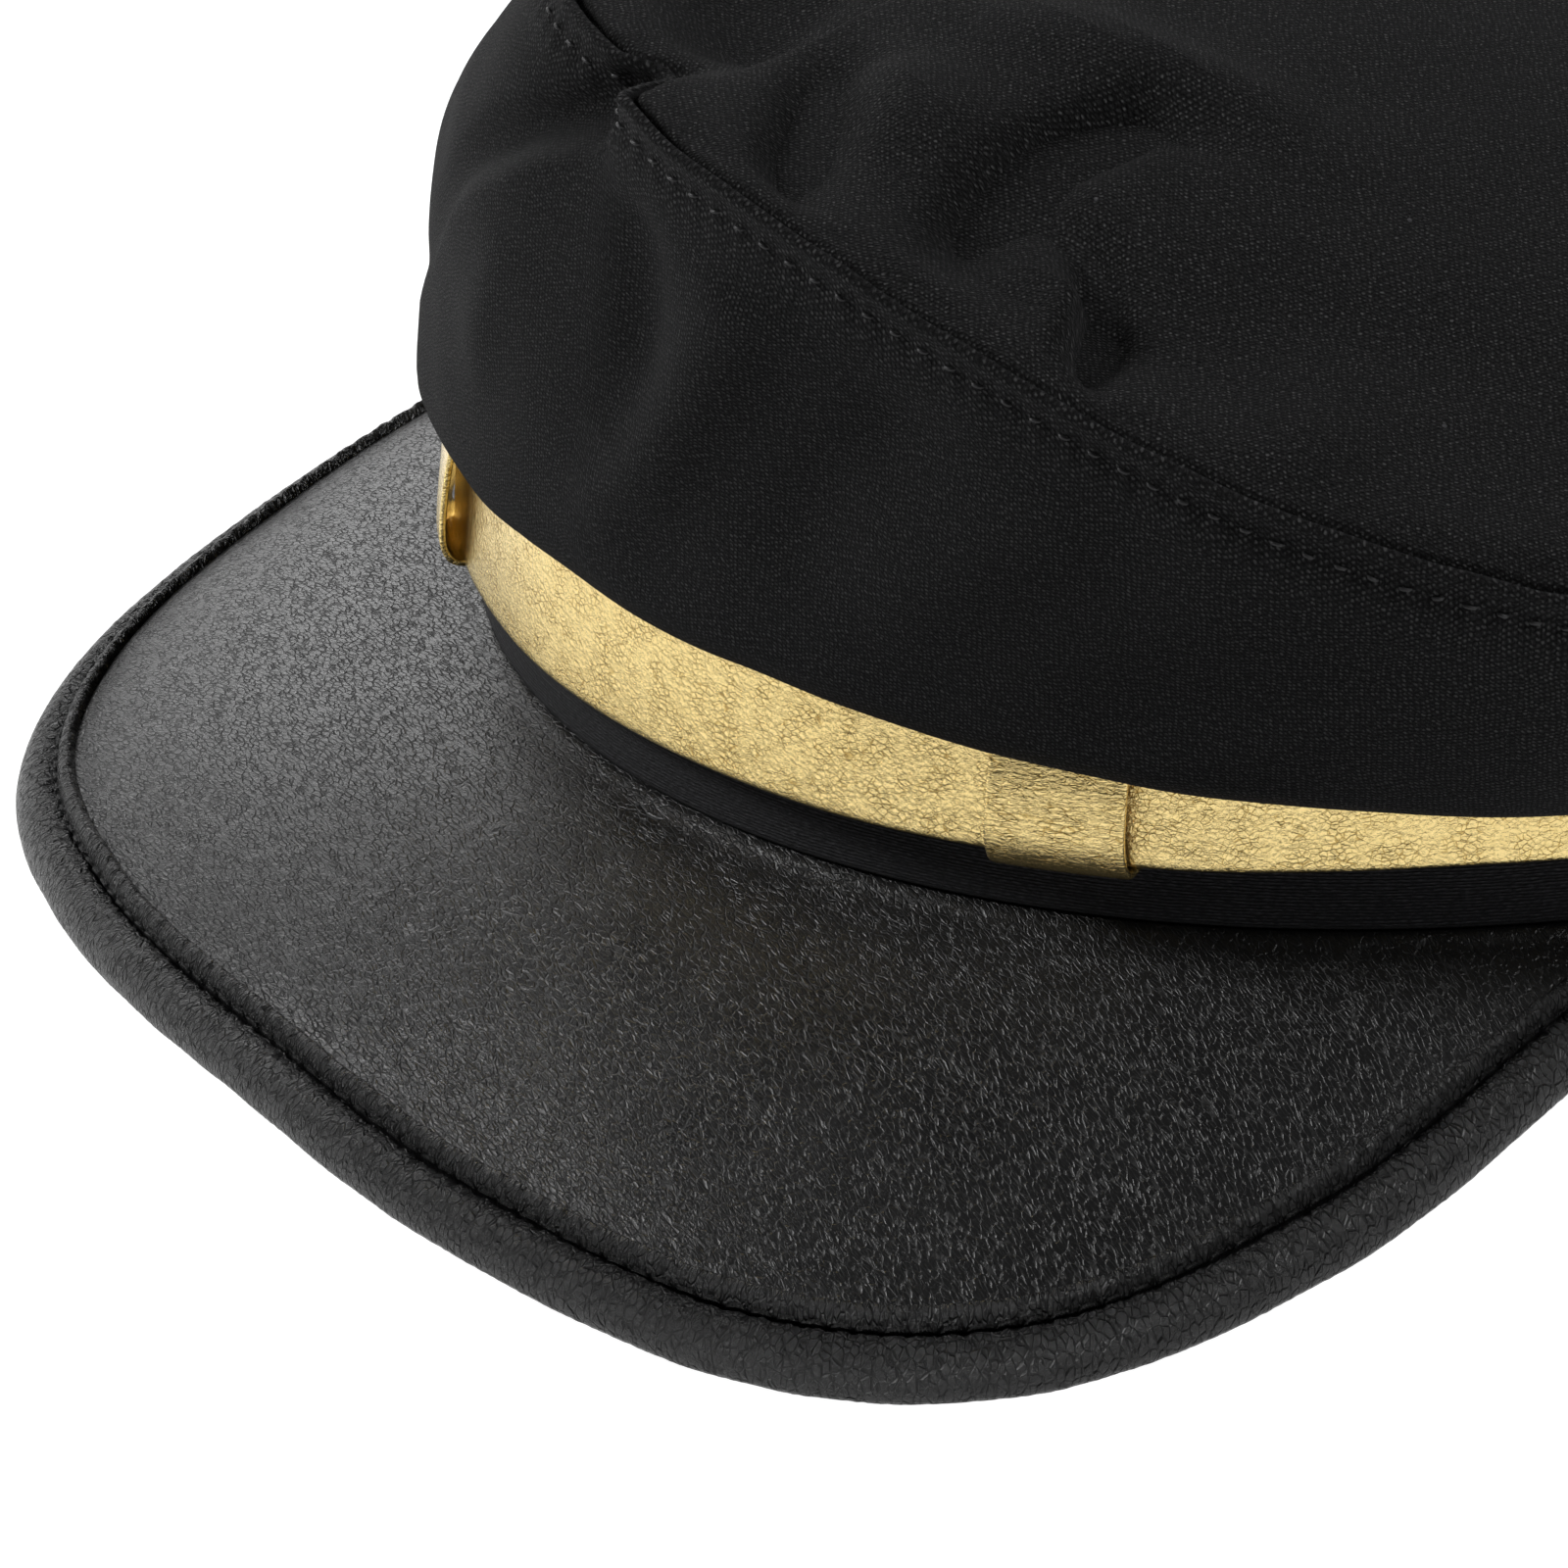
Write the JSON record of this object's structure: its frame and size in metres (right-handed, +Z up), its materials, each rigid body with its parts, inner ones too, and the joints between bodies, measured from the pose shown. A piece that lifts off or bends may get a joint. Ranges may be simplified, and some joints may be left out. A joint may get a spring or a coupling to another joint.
{
  "type": "captain hat",
  "caption": "Soft black captain hat with a slouching knitted crown, a ribbed head band, a stitched leather visor and a gold strap across the front.",
  "frame": {"origin": "centre of the bounding box on the surface that the hat rests on", "axes": "+Z up, -Y to the front where the visor points, +X to the wearer's left"},
  "size_m": [0.1886, 0.2618, 0.0826],
  "materials": {
    "knit": "matte fine knit",
    "ribbed_band": "matte ribbed weave",
    "black_leather": "satin grained leather",
    "gold_leather": "metallic grained leather"
  },
  "bodies": {
    "root": {"crown_side": "knit", "crown_top": "knit", "head_band": "ribbed_band", "visor": "black_leather", "visor_binding": "black_leather", "visor_piping": "black_leather", "strap": "gold_leather", "strap_overlay": "gold_leather", "keeper_left": "gold_leather", "keeper_right": "gold_leather", "side_button_left": "gold_leather", "side_button_right": "gold_leather"}
  },
  "joints": []
}
